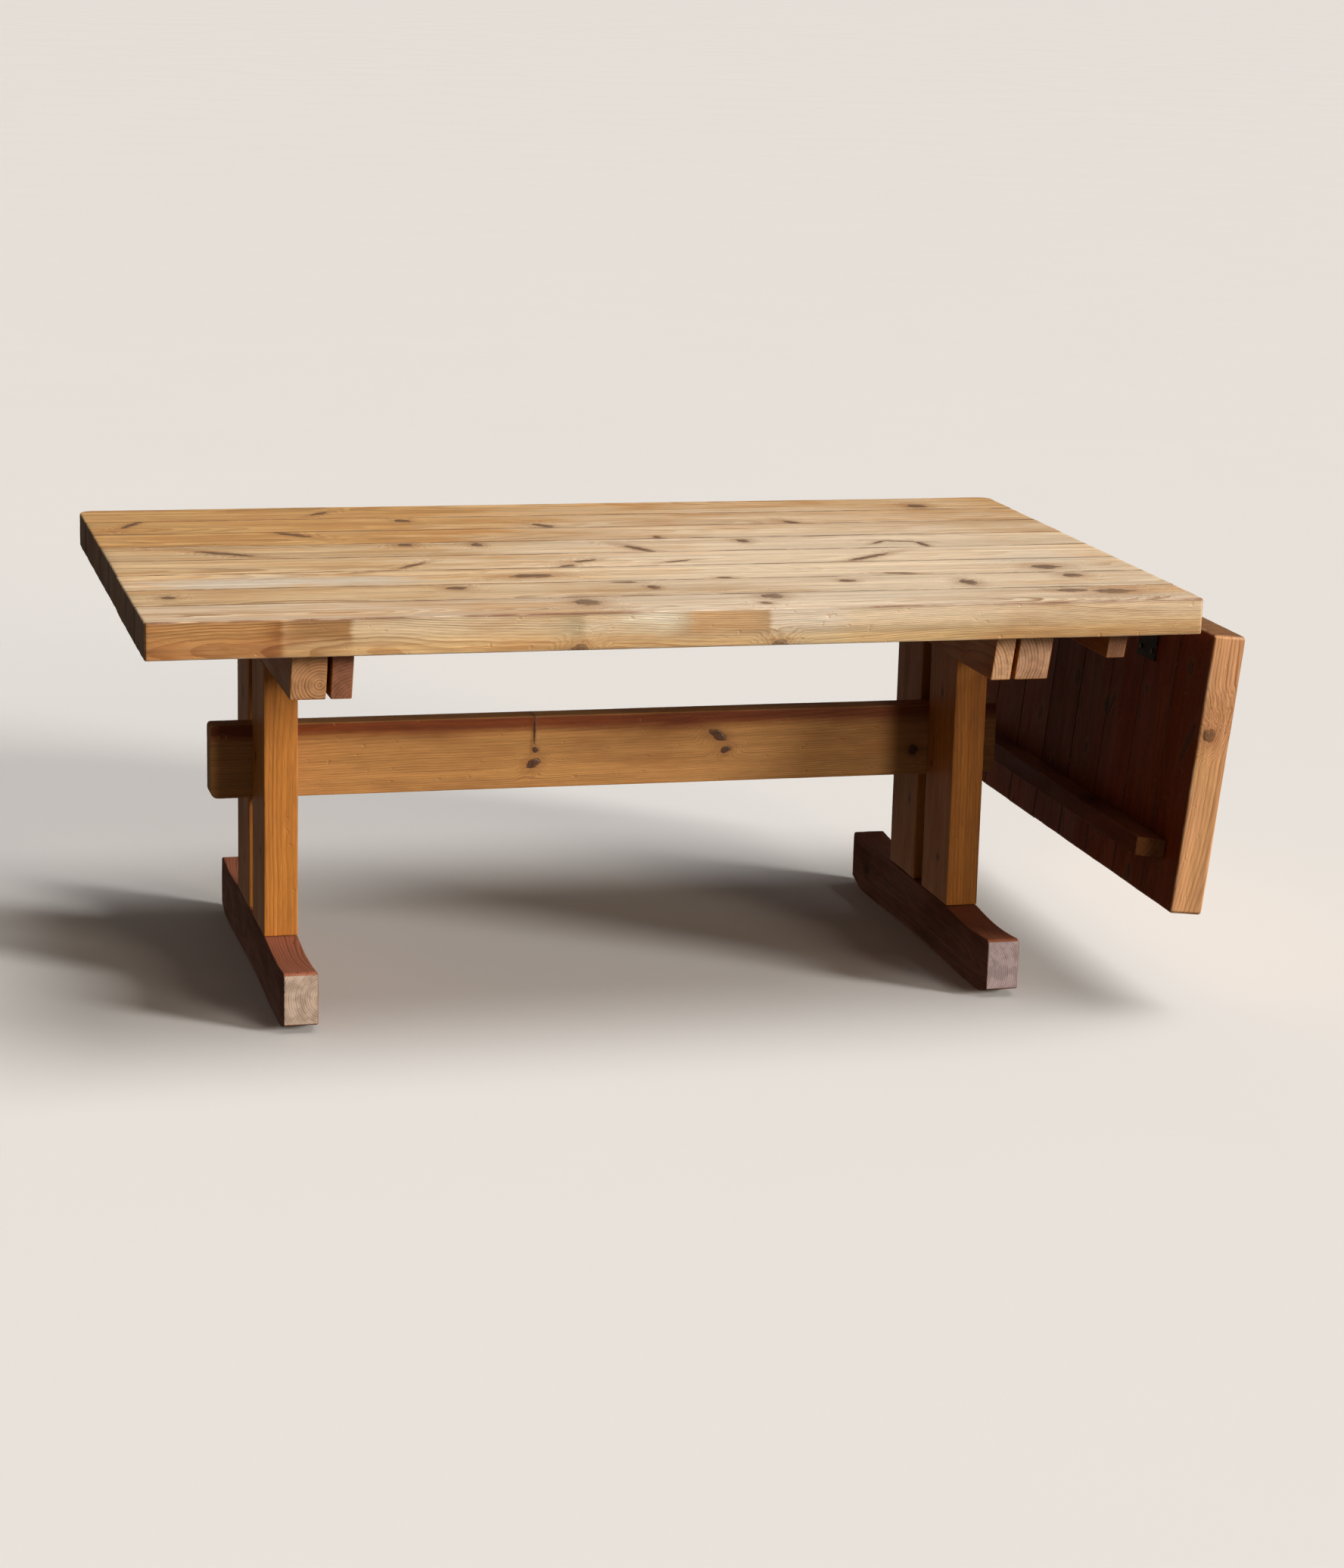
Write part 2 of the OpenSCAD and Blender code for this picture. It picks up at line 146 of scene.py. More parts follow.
class Pine(Shader):
    """Pine whose colour and relief are laid down one step after another."""

    def __init__(self, name, seed, grain, look):
        super().__init__(name)
        self.seed, self.look = seed, look
        here = self.put("ShaderNodeSeparateXYZ", {0: self.put("ShaderNodeTexCoord").outputs["Object"]})
        self.axes = [here.outputs[axis] for axis in GRAIN[grain]]
        self.board = self.put("ShaderNodeCombineXYZ", enumerate(self.axes)).outputs[0]
        self.side, self.ends = self.attribute("side"), self.attribute("ends")
        self.ragged = self.vary((0.02, 0.009, 0.009), 23)
        self.fibre = self.vary((0.03, 0.0011, 0.0011), 31, 3.0, 0.6)
        self.streak = self.vary((0.3, 0.007, 0.007), 37, 3.0, 0.65)
        self.patch = self.vary((0.22, 0.07, 0.07), 41, 3.0, 0.6)
        self.swathe = self.vary((0.7, 0.02, 0.02), 43, 2.0, 0.55)
        self.broken = self.vary((0.07, 0.02, 0.02), 53, 3.0, 0.65)
        self.nearest_knot = None

    def vary(self, size, number, detail=2.0, rough=0.5, twist=0.0):
        """A noise of its own in the board's coordinates."""
        return self.noise(self.board, size, self.seed + number, detail, rough, twist)

    def times(self, a, b):
        return self.math("MULTIPLY", a, b)

    def lay(self, share, colour, kind="MIX"):
        """Lays a colour over what is there."""
        self.colour = self.blend(share, self.colour, colour, kind)

    def lift(self, mask, amount):
        """Raises the relief under a mask, or sinks it where the amount is negative."""
        self.height = self.math("MULTIPLY_ADD", mask, amount, self.height)

    def grow(self, pith, knots):
        """Growth rings round a pith that wanders along the board, pushed aside by every knot."""
        u, v, w = self.axes
        look = self.look
        lean = look.get("lean", 0.02) * (1 if self.seed % 2 else -1)
        rise = look.get("rise", 0.03) * (1 if self.seed % 3 else -1)
        across = self.math("SUBTRACT", self.math("MULTIPLY_ADD", u, lean, v), pith[0])
        through = self.math("SUBTRACT", self.math("MULTIPLY_ADD", u, rise, w), pith[1])
        around = self.math("ADD", self.times(across, across), self.times(through, through))
        reach = self.math("SQRT", around)
        reach = self.math("MULTIPLY_ADD", self.vary((0.55, 0.35, 0.35), 0, 1.0), look["sway"], reach)
        reach = self.math("MULTIPLY_ADD", self.vary((0.09, 0.03, 0.03), 11), look["sway"] * 0.09, reach)
        for place, long, wide, turn in knots:
            away = self.math("SUBTRACT", self.spot(self.board, place, (long, wide), turn), 0.75)
            away = self.math("MULTIPLY_ADD", self.ragged, 1.5, away)
            reach = self.math("ADD", reach, self.span(away, 0.2, 4.5, 1.3 * wide + 0.004, 0.0))
            first = self.nearest_knot is None
            self.nearest_knot = away if first else self.math("MINIMUM", self.nearest_knot, away)

        rings = self.math("DIVIDE", reach, look["ring"])
        phase = self.math("FRACT", rings)
        late = self.times(self.span(phase, 0.25, 0.9), self.span(phase, 0.93, 1.0, 1.0, 0.0))
        year = self.put("ShaderNodeTexWhiteNoise", {"W": self.math("FLOOR", rings)}, noise_dimensions="1D")
        late = self.times(late, self.math("MULTIPLY_ADD", year.outputs["Value"], 0.65, 0.35))
        self.late = self.times(late, self.span(self.vary((0.3, 0.05, 0.05), 5), 0.3, 0.7, 0.6, 1.0))
        self.height = self.math("MULTIPLY_ADD", self.late, 0.35, self.times(self.fibre, 0.4))

    def paint_rings(self):
        """Early and late wood, and broad areas of a deeper tone."""
        look = self.look
        self.colour = self.blend(self.times(self.late, look["contrast"]), look["early"], look["late"])
        self.lay(self.span(self.patch, 0.38, 0.68, 0.0, look.get("patches", 0.5)), look["deep"])

    def bleach(self, fade, worn):
        """One wide pale area, and patches that are worn bare."""
        if fade:
            place, size, pale, full = fade
            away = self.math("MULTIPLY_ADD", self.patch, 1.3, self.spot(self.board, place, size))
            rings = self.times(self.late, self.look["contrast"] * 0.7)
            veil = self.blend(rings, pale, self.look.get("veil", self.look["early"]))
            self.lay(self.span(away, 0.9, 1.9, full, 0.0), veil)
        for place, long, wide, turn, share in worn:
            away = self.spot(self.board, place, (long, wide), turn)
            away = self.math("MULTIPLY_ADD", self.patch, 1.6, away)
            fibres = self.span(self.fibre, 0.3, 0.6, 0.6, 1.0)
            self.lay(self.times(self.span(away, 1.0, 1.8, share, 0.0), fibres), BARE_WOOD)

    def stain_side(self, bands):
        """Areas of the side faces with a tone of their own: soft at the start, sharp at the stop."""
        along = self.math("MULTIPLY_ADD", self.streak, 0.02, self.axes[0])
        through = self.math("MULTIPLY_ADD", self.patch, 0.02, self.axes[2])
        for start, stop, waist, stain, share in bands:
            begun = self.span(along, start, start + 0.07)
            inside = self.times(begun, self.span(along, stop, stop + 0.014, 1.0, 0.0))
            inside = self.times(inside, self.span(through, waist - 0.004, waist + 0.018, 0.25, 1.0))
            self.lay(self.times(self.times(inside, self.side), share), stain, "MULTIPLY")

    def shade_lengthways(self):
        """Fibres, streaks, wide swathes and dark veins, all along the grain."""
        look = self.look
        self.lay(1.0, self.span(self.fibre, 0.25, 0.75, 0.82, 1.12), "MULTIPLY")
        self.lay(1.0, self.span(self.streak, 0.3, 0.68, *look.get("streaks", (0.72, 1.12))), "MULTIPLY")
        self.lay(1.0, self.span(self.swathe, 0.3, 0.7, *look.get("swathes", (0.9, 1.06))), "MULTIPLY")
        vein = self.span(self.vary((0.45, 0.0055, 0.0055), 47, 1.0, 0.5, 0.3), 0.66, 0.74)
        vein = self.times(vein, self.span(self.swathe, 0.35, 0.6))
        self.lay(self.times(vein, look.get("veins", 0.3)), look["late"])

    def shade_faces(self):
        """End grain drinks more finish, and some looks differ underneath, on top or along an edge: partly
        finish and wear, partly painted shade and light.
        """
        look = self.look
        cut = self.blend(self.times(self.late, 0.9), look["end"], look.get("end_late", look["late"]))
        blot = self.vary((0.03, 0.018, 0.018), 71, 2.0, 0.6)
        cut = self.blend(1.0, cut, self.span(blot, 0.36, 0.62, 0.78, 1.08), "MULTIPLY")
        self.lay(self.times(self.ends, look.get("end_share", 0.5)), cut)
        # Darker underneath: partly an unfaded finish, partly painted shade on faces the light hardly
        # reaches
        if "under" in look:
            self.lay(self.attribute("under"), look["under"], "MULTIPLY")
        # Paler tops of the feet: partly worn by shoes, partly painted light where the low lamps barely
        # reach them
        if "trodden_and_lit" in look:
            worn_and_lit = self.span(self.late, 0.0, 0.7, 0.85, 0.45)
            self.lay(self.times(self.attribute("up"), worn_and_lit), look["trodden_and_lit"])
        # A band of another tone along one edge; on the stretcher it is partly a stain and partly a painted
        # shadow of the top
        if "hem" in look:
            axis, none, full, warm = look["hem"]
            near = self.span(self.math("MULTIPLY_ADD", self.patch, 0.02, self.axes[axis]), none, full)
            self.lay(self.times(near, self.side), warm, "MULTIPLY")

    def paint_knots(self):
        """Whorled hearts with a dark rim, and darker wood around them."""
        look, away = self.look, self.nearest_knot
        whorl = self.math("FRACT", self.times(away, 2.6))
        heart = self.blend(self.span(whorl, 0.2, 0.95), look["knot"], look["heart"])
        heart = self.blend(self.span(self.ragged, 0.45, 0.65, 0.0, 0.7), heart, look["knot"])
        core = self.span(away, 0.6, 1.15, look.get("knot_share", 0.88), 0.0)
        rim = self.times(self.span(away, 0.7, 0.92), self.span(away, 0.95, 1.2, 0.5, 0.0))
        self.lay(self.span(away, 0.9, 3.2, 0.42, 0.0), look["late"])
        self.lay(core, heart)
        self.lay(rim, look["heart"])
        self.lift(core, 0.6)
        self.lift(rim, -0.9)

    def stain_brow(self, start, stop, stain):
        """A dark line along the front top arris, nearly worn off between start and stop."""
        gone = self.span(self.axes[0], start - 0.03, start)
        gone = self.times(gone, self.span(self.axes[0], stop, stop + 0.1, 1.0, 0.0))
        dark = self.times(self.attribute("brow"), self.span(self.patch, 0.3, 0.5, 0.35, 1.0))
        self.lay(self.math("MULTIPLY_ADD", gone, self.times(dark, -0.8), dark), stain)

    def wear(self):
        """Dirt along the seams, pale arrises that are partly worn bare and partly a painted highlight,
        small dents and scratches.
        """
        look = self.look
        dirt = self.times(self.attribute("seam"), self.span(self.broken, 0.35, 0.6, 0.35, 1.0))
        self.lay(dirt, look["crack"])
        # Pale arrises: wear, and a painted highlight where light catches the rounded edges
        worn_and_lit = self.times(self.attribute("rim"), self.span(self.broken, 0.45, 0.7, 0.0, 0.35))
        self.lay(worn_and_lit, look["pale"])
        dent = self.span(self.vary((0.016, 0.01, 0.01), 61, 1.0), 0.7, 0.8)
        self.lay(self.times(dent, 0.3), look["deep"])
        self.lift(dent, -0.8)
        scratch = self.span(self.vary((0.11, 0.0016, 0.05), 67, 1.0, 0.5, 0.4), 0.77, 0.82)
        scratch = self.times(scratch, self.span(self.broken, 0.5, 0.6))
        self.lay(self.times(scratch, look.get("scratch", 0.35)), look["pale"])
        self.lift(scratch, -0.5)

    def coat(self):
        """The finish over it all: satin along the fibres and duller at the ends."""
        look = self.look
        gloss = self.span(self.patch, 0.3, 0.7, *look.get("sheen", (0.42, 0.6)))
        gloss = self.math("MULTIPLY_ADD", self.math("SUBTRACT", self.fibre, 0.5), 0.25, gloss)
        gloss = self.math("MULTIPLY_ADD", self.ends, 0.12, gloss, clamp=True)
        shine = {"Specular IOR Level": look.get("specular", 0.4)}
        return self.finish(self.colour, gloss, self.height, 0.0007, **shine)


def pine(name, seed, grain, look, knots=(), pith=(0.03, -0.07), worn=(), bands=(), fade=None):
    """A material of oiled pine that has aged.

    grain is the axis of the fibres, and pith the place of the rings' middle across and through the
    board. knots are (place, half length, half width, turn), worn are bare patches (place, half
    length, half width, turn, share), bands are (from u, to u, from w, tone, share) on the side
    faces, and fade is a wide pale area (place, half axes, tone, share)."""
    wood = Pine(name, seed, grain, look)
    wood.grow(pith, knots)
    wood.paint_rings()
    wood.bleach(fade, worn)
    wood.stain_side(bands)
    wood.shade_lengthways()
    wood.shade_faces()
    if knots:
        wood.paint_knots()
    if "brow" in look:
        wood.stain_brow(*look["brow"])
    wood.wear()
    return wood.coat()


def metal(name, seed, bright, dark, rust, roughness):
    """Old hardware: uneven dark metal with specks of rust."""
    s = Shader(name)
    here = s.put("ShaderNodeTexCoord").outputs["Object"]
    cloud = s.noise(here, (0.012, 0.012, 0.012), seed, 4.0, 0.6)
    speck = s.noise(here, (0.0018, 0.0018, 0.0018), seed + 3, 3.0, 0.65)
    colour = s.blend(s.span(cloud, 0.35, 0.65), dark, bright)
    rusty = s.math("MULTIPLY", s.span(speck, 0.55, 0.7), s.span(cloud, 0.5, 0.7))
    colour = s.blend(rusty, colour, rust)
    gloss = s.span(cloud, 0.3, 0.7, roughness, roughness + 0.2)
    gloss = s.math("MULTIPLY_ADD", rusty, 0.3, gloss, clamp=True)
    return s.finish(colour, gloss, speck, 0.0003, Metallic=0.9)


# ---------------------------------------------------------------- boards


def ripples(points, size, seed, count=6):
    """Smooth unevenness from 0 to 1 whose swells are about size metres apart."""
    rng = np.random.default_rng(seed)
    total = np.zeros(len(points))
    for _ in range(count):
        way = rng.normal(size=3)
        way *= 2 * math.pi * rng.uniform(0.5, 1.3) / np.linalg.norm(way)
        total += np.sin((points / np.array(size)) @ way + rng.uniform(0, 2 * math.pi))
    return 0.5 + total / (2 * count)


def places(low, high, step, edge, extra=()):
    """Divisions of one side: close together at both arrises and even between them."""
    count = max(2, round((high - low - 2 * edge) / step))
    inner = np.linspace(low + edge, high - edge, count + 1)
    near = edge * np.array([0.0, 0.22, 0.55])
    every = np.concatenate([low + near, inner, high - near, np.array(extra, float)])
    every = np.unique(np.round(every, 6))
    return every[(every >= low - 1e-7) & (every <= high + 1e-7)]


def shell(xs, ys, zs):
    """The closed surface of a box divided at the given places: points and outward quads."""
    shape = (len(xs), len(ys), len(zs))
    skin = np.zeros(shape, bool)
    for axis in range(3):
        for end in (0, -1):
            skin[tuple(end if a == axis else slice(None) for a in range(3))] = True
    index = np.full(shape, -1)
    index[skin] = np.arange(skin.sum())
    grid = np.stack(np.meshgrid(xs, ys, zs, indexing="ij"), -1)[skin]
    quads = []
    for axis in range(3):
        for end in (0, -1):
            face = index[tuple(end if a == axis else slice(None) for a in range(3))]
            a, b, c, d = face[:-1, :-1], face[1:, :-1], face[1:, 1:], face[:-1, 1:]
            ring = (a, b, c, d) if (end == -1) != (axis == 1) else (d, c, b, a)
            quads.append(np.stack(ring, -1).reshape(-1, 4))
    return grid, np.concatenate(quads)


def round_corner(points, i, j, low, high, side_i, side_j, radius):
    """Rounds one corner of the outline in the plane of axes i and j, keeping what lies inside it."""
    ci = high[i] - radius if side_i > 0 else low[i] + radius
    cj = high[j] - radius if side_j > 0 else low[j] + radius
    di, dj = (points[:, i] - ci) * side_i, (points[:, j] - cj) * side_j
    inside = (di > 0) & (dj > 0)
    far = np.maximum(di, dj)[inside]
    length = np.hypot(di, dj)[inside]
    points[inside, i] = ci + side_i * di[inside] * far / length
    points[inside, j] = cj + side_j * dj[inside] * far / length


def new_mesh(name, points, quads, marks):
    mesh = bpy.data.meshes.new(name)
    mesh.from_pydata(points.tolist(), [], quads.tolist())
    for key, values in marks.items():
        mesh.attributes.new(key, "FLOAT", "POINT").data.foreach_set("value", values.astype(np.float32))
    mesh.polygons.foreach_set("use_smooth", [True] * len(mesh.polygons))
    piece = bpy.data.objects.new(name, mesh)
    bpy.context.scene.collection.objects.link(piece)
    return piece


def local_box(node, pose):
    """A CAD node's lowest and highest corners in the coordinates of a pose matrix."""
    back = np.array(pose.inverted())
    points = np.array([v.co for v in frame["nodes"][node].data.vertices])
    points = points @ back[:3, :3].T + back[:3, 3]
    return points.min(0), points.max(0)


def worn_block(grain, low, high, step, arris, wear, uneven, seed, corners, extra, seams, tight, end_wear):
    """A block with rounded, worn arrises and slightly uneven faces: points, quads and the way out."""
    along = GRAIN[grain][0]
    steps = [step if a == along else min(step, 0.014) for a in range(3)]
    sides = [places(low[a], high[a], steps[a], arris, extra[a]) for a in range(3)]
    points, quads = shell(*sides)
    swell = ripples(points, (0.08, 0.08, 0.08), seed + 2)
    radius = np.repeat((arris * (1 - wear / 2 + wear / 2 * swell))[:, None], 3, 1)
    for axis, side in seams:
        near = np.abs(points[:, axis] - (high if side > 0 else low)[axis]) < arris
        radius[near, axis] = tight
    core = np.clip(points, low + radius, high - radius)
    out = (points - core) / radius
    out /= np.maximum(np.linalg.norm(out, axis=1, keepdims=True), 1e-9)
    points = core + out * radius
    for i, j, side_i, side_j, size in corners:
        round_corner(points, i, j, low, high, side_i, side_j, size)
    stretch = np.full(3, 0.06)
    stretch[along] = 0.3
    hollow = uneven * ripples(points, stretch, seed + 3)
    hollow += 0.4 * uneven * ripples(points, stretch / 4, seed + 4)
    hollow += end_wear * np.abs(out[:, along]) * ripples(points, (0.03, 0.03, 0.03), seed + 5)
    return points - out * hollow[:, None], quads, out


def face_marks(grain, low, high, points, out, seams):
    """Where a board's arrises, ends, faces and seams are, as numbers from 0 to 1 at every point."""
    marks = {
        "rim": np.clip((1 - np.abs(out).max(1)) / 0.25, 0, 1),
        "ends": np.abs(out[:, GRAIN[grain][0]]) ** 4,
        "side": np.abs(out[:, GRAIN[grain][1]]) ** 4,
        "under": np.clip(-out[:, 2], 0, 1) ** 4,
        "up": np.clip(out[:, 2], 0, 1) ** 4,
        "brow": np.clip(-2.6 * out[:, 1] * out[:, 2], 0, 1),
        "seam": np.zeros(len(points)),
    }
    for axis, side in seams:
        gap = np.abs(points[:, axis] - (high if side > 0 else low)[axis])
        marks["seam"] = np.maximum(marks["seam"], np.clip(1.25 - gap / (4.2 * MM), 0, 1))
    return marks


def timber(name, node, body, material, grain, low, high, step=0.012, arris=0.002, wear=0.5,
           uneven=0.0004, seed=0, corners=(), form=None, extra=((), (), ()), seams=(), tight=0.0,
           pose=None, drills=None, end_wear=0.0005):
    """A board from low to high that stands in for a CAD node.

    corners are (axis, axis, side, side, radius), form bends the points, extra are more divisions
    of each axis, seams are the sides (axis, side) that touch a neighbour, where the arris has the
    tight radius, and drills are the holes that drill() takes."""
    low, high = np.array(low, float), np.array(high, float)
    points, quads, out = worn_block(grain, low, high, step, arris, wear, uneven, seed, corners, extra,
                                    seams, tight, end_wear)
    marks = face_marks(grain, low, high, points, out, seams)
    if form:
        points = form(points, low, high)
    piece = new_mesh(name, points, quads, marks)
    if drills:
        drill(piece, drills)
    piece.data.materials.append(material)
    if pose:
        piece.matrix_world = pose
    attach(piece, body)
    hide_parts(node)
    return piece


def drill(piece, holes):
    """Cuts round holes, each (centre, axis, radius, length), out of a piece."""
    points, faces, count = [], [], 28
    for centre, axis, radius, length in holes:
        start = len(points)
        a, b = [k for k in range(3) if k != axis]
        for end in (-0.5, 0.5):
            for n in range(count):
                p = [0.0, 0.0, 0.0]
                p[axis] = centre[axis] + end * length
                p[a] = centre[a] + radius * math.cos(2 * math.pi * n / count)
                p[b] = centre[b] + radius * math.sin(2 * math.pi * n / count)
                points.append(p)
        bottom = [start + n for n in range(count)]
        top = [start + count + n for n in range(count)]
        faces += [bottom[::-1], top]
        faces += [[bottom[n - 1], bottom[n], top[n], top[n - 1]] for n in range(count)]
    mesh = bpy.data.meshes.new("cutter")
    mesh.from_pydata(points, [], faces)
    cutter = bpy.data.objects.new("cutter", mesh)
    bpy.context.scene.collection.objects.link(cutter)
    cut = piece.modifiers.new("holes", "BOOLEAN")
    cut.operation, cut.solver, cut.object = "DIFFERENCE", "EXACT", cutter
    done = bpy.data.meshes.new_from_object(piece.evaluated_get(bpy.context.evaluated_depsgraph_get()))
    piece.modifiers.clear()
    piece.data = done
    done.set_sharp_from_angle(angle=math.radians(40))
    bpy.data.objects.remove(cutter)


# ---------------------------------------------------------------- looks of the wood

# under darkens the undersides: partly an unfaded finish, partly painted shade
TOP = dict(early=tone("e2c194"), late=tone("94653c"), deep=tone("c0905c"), pale=tone("f2e2c6"),
           under=tone("bc783c"), crack=tone("4e2f1a"), end=tone("583a24"), end_share=0.8,
           knot=tone("6a4c34"), heart=tone("2c1c14"), knot_share=0.8, ring=0.0046, sway=0.045,
           contrast=0.8, patches=0.6, streaks=(0.86, 1.06), swathes=(0.82, 1.1), veins=0.45,
           sheen=(0.4, 0.56), specular=0.35)
FRAME = dict(early=tone("b8762f"), late=tone("7a4317"), deep=tone("95561d"), pale=tone("d69a54"),
             crack=tone("2c1509"), end=tone("8d6038"), knot=tone("6a4022"), heart=tone("2a1712"),
             ring=0.0036, sway=0.025, lean=0.008, rise=0.01, contrast=0.55, patches=0.55,
             streaks=(0.86, 1.06), swathes=(0.92, 1.06), veins=0.15, sheen=(0.42, 0.58), specular=0.3)
# The feet's pale top tone is partly wear and partly painted light
FOOT = dict(early=tone("7c4526"), late=tone("44200f"), deep=tone("562c15"), pale=tone("9c7654"),
            crack=tone("1c0d08"), end=tone("bb9f8c"), end_late=tone("8a6c5c"), end_share=0.9,
            trodden_and_lit=tone("c07a56"), knot=tone("4a2a18"), heart=tone("22120c"), ring=0.0038, sway=0.03,
            contrast=0.7, patches=0.7, sheen=(0.5, 0.7), specular=0.1)
BLEACHED = tone("eedcc2")


def shade(look, amount, **changes):
    """The same look, darker or lighter, with any other changes."""
    keys = ("early", "late", "deep", "pale", "end")
    return {**look, **{k: tuple(c * amount for c in look[k][:3]) + (1.0,) for k in keys}, **changes}


# ---------------------------------------------------------------- the fixed top

TABLE_LOW, TABLE_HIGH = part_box("top_stave_1")[0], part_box("top_stave_8")[1]
LENGTH = TABLE_HIGH.x - TABLE_LOW.x
WIDTH = TABLE_HIGH.y - TABLE_LOW.y
STAVE = WIDTH / STAVES

# Knots of the top, by stave: share of the length, share of the stave's width, half length and half
# width in mm, and turn in degrees
TOP_KNOTS = {
    1: [(0.411, 0.64, 20, 22, 0), (0.591, 0.78, 18, 19, 0), (0.576, 0.35, 9, 10, 0),
        (0.886, 0.72, 26, 12, 0), (0.926, 0.62, 36, 18, 0)],
    2: [(0.036, 0.5, 12, 12, 0), (0.306, 0.74, 16, 14, 0), (0.491, 0.53, 10, 13, 0),
        (0.471, 0.9, 18, 6, -5), (0.686, 0.7, 13, 10, 0), (0.801, 0.42, 14, 23, 0),
        (0.916, 0.75, 18, 15, 0)],
    3: [(0.389, 0.46, 35, 16, 4), (0.573, 0.08, 14, 7, -5), (0.751, 0.13, 27, 6, -10),
        (0.906, 0.37, 24, 20, 0)],
    4: [(0.286, 0.33, 34, 6, 45), (0.436, 0.11, 16, 8, 43), (0.459, 0.44, 24, 8, 29),
        (0.55, 0.3, 28, 6, 20), (0.746, 0.32, 58, 8, 36)],
    5: [(0.116, 0.45, 56, 11, -34), (0.372, 0.78, 10, 16, 0), (0.301, 0.85, 14, 13, 0),
        (0.529, 0.27, 40, 10, -60), (0.646, 0.71, 12, 18, 0), (0.809, 0.46, 36, 5, -12),
        (0.784, 0.42, 18, 5, 44), (0.826, 0.21, 24, 6, -80)],
    6: [(0.199, 0.77, 36, 10, -43), (0.564, 0.12, 7, 12, 0)],
    7: [(0.046, 0.77, 40, 7, 58), (0.324, 0.75, 14, 15, 13), (0.464, 0.17, 27, 10, -52),
        (0.729, 0.08, 25, 10, -66)],
    8: [(0.245, 0.43, 25, 8, 46), (0.898, 0.31, 17, 20, 0)],
}
# Middle of each stave's rings: across from the stave's middle, and up from its underside
PITHS = [(-0.03, -0.012), (-0.05, -0.03), (0.03, -0.10), (-0.02, -0.06), (0.06, -0.04), (0.0, -0.12),
         (-0.04, -0.07), (0.05, -0.05)]
TOP_SHADES = (1.04, 0.92, 1.1, 1.03, 0.92, 1.06, 0.95, 0.9)
RING_WIDTHS = (0.62, 1.15, 0.85, 1.05, 0.9, 1.2, 0.95, 1.1)
GOLDEN_STAVES = (6, 7, 8)
WORN_STAVES = (2, 3, 4)
# Tones along the front face: from and to as shares of the length, whether only the upper half has
# it, tone and strength
FRONT_BANDS = [
    (-0.1, 0.125, False, "cca078", 0.75),
    (-0.1, 0.125, True, "e8e0bc", 1.0),
    (0.1, 0.187, True, "bd9969", 0.9),
    (0.12, 0.4, True, "e0e0d9", 1.0),
    (0.36, 0.5, True, "ebf7ff", 1.0),
    (0.475, 0.575, True, "c4a472", 0.8),
    (0.55, 1.1, False, "e8ecf2", 1.0),
    (0.63, 1.1, False, "fff8ea", 1.0),
]
WAIST, WHOLE_FACE = 28 * MM, -1.0
EDGE_KNOTS = (0.394, 0.583)


def along_top(share):
    """A place along the fixed top, by its share of the length."""
    return TABLE_LOW.x + share * LENGTH


BARE_PATCHES = [((along_top(0.13), -0.215), 0.34, 0.07, 0.0, 0.85),
                ((along_top(0.92), -0.15), 0.16, 0.05, 0.1, 0.4)]
TOP_FADE = ((along_top(0.74), -0.12), (0.78, 0.72), BLEACHED, 0.68)
FRONT_FADE = ((along_top(0.62), TABLE_LOW.y), (0.32, 0.3), BLEACHED, 0.85)


def board_knots(rows, low, length):
    """A stave's knots in metres and radians, from rows like those of TOP_KNOTS."""
    return [((low[0] + a * length, low[1] + b * STAVE), p * MM, q * MM, math.radians(turn))
            for a, b, p, q, turn in rows]


def front_stave_look(look, low):
    """The first stave: a warm lower half on its front face, and a dark line on the arris above."""
    hem = (2, low.z + 2 * WAIST, low.z + 20 * MM, tone("f0e0bf"))
    brow = (along_top(0.5), along_top(0.62), tone("744a2c"))
    return dict(look, hem=hem, brow=brow, contrast=1.0, knot_share=0.66, early=tone("e8d0b0"),
                veil=tone("b98a58"))


def front_stave_bands(low):
    """The rows of FRONT_BANDS as the bands that pine() takes."""
    return [(along_top(start), along_top(stop), low.z + WAIST if upper else WHOLE_FACE, tone(code), share)
            for start, stop, upper, code, share in FRONT_BANDS]


def slab_form(seed, low_end, high_end):
    """Each stave of the slab ends a little short of the next."""
    rng = np.random.default_rng(seed)
    short_low, short_high = rng.uniform(0.0, low_end), rng.uniform(0.0, high_end)

    def form(points, low, high):
        share = (points[:, 0] - low[0]) / (high[0] - low[0])
        points[:, 0] += short_low * (1 - share) - short_high * share
        return points

    return form


def stave_side(n):
    """The sides of a stave that touch its neighbours, as (axis, side)."""
    return [(1, side) for side, there in ((-1, n > 1), (1, n < STAVES)) if there]


def plan_corners(n, back_left, back_right):
    """The first stave has the crisp front corners, and the last one the rounder back corners."""
    if n == 1:
        return [(0, 1, side, -1, FRONT_R) for side in (-1, 1)]
    if n == STAVES:
        return [(0, 1, -1, 1, back_left), (0, 1, 1, 1, back_right)]
    return []


def near_corners(n, low, high):
    """More divisions along and across, near the slab's rounded corners."""
    if n not in (1, STAVES):
        return (), ()
    across = low[1] + NEAR_CORNER if n == 1 else high[1] - NEAR_CORNER
    return np.concatenate([low[0] + NEAR_CORNER, high[0] - NEAR_CORNER]), across


PLAN_R, FRONT_R = 28 * MM, 7 * MM
SEAM_R = 1.1 * MM
NEAR_CORNER = np.arange(3, 30, 3) * MM

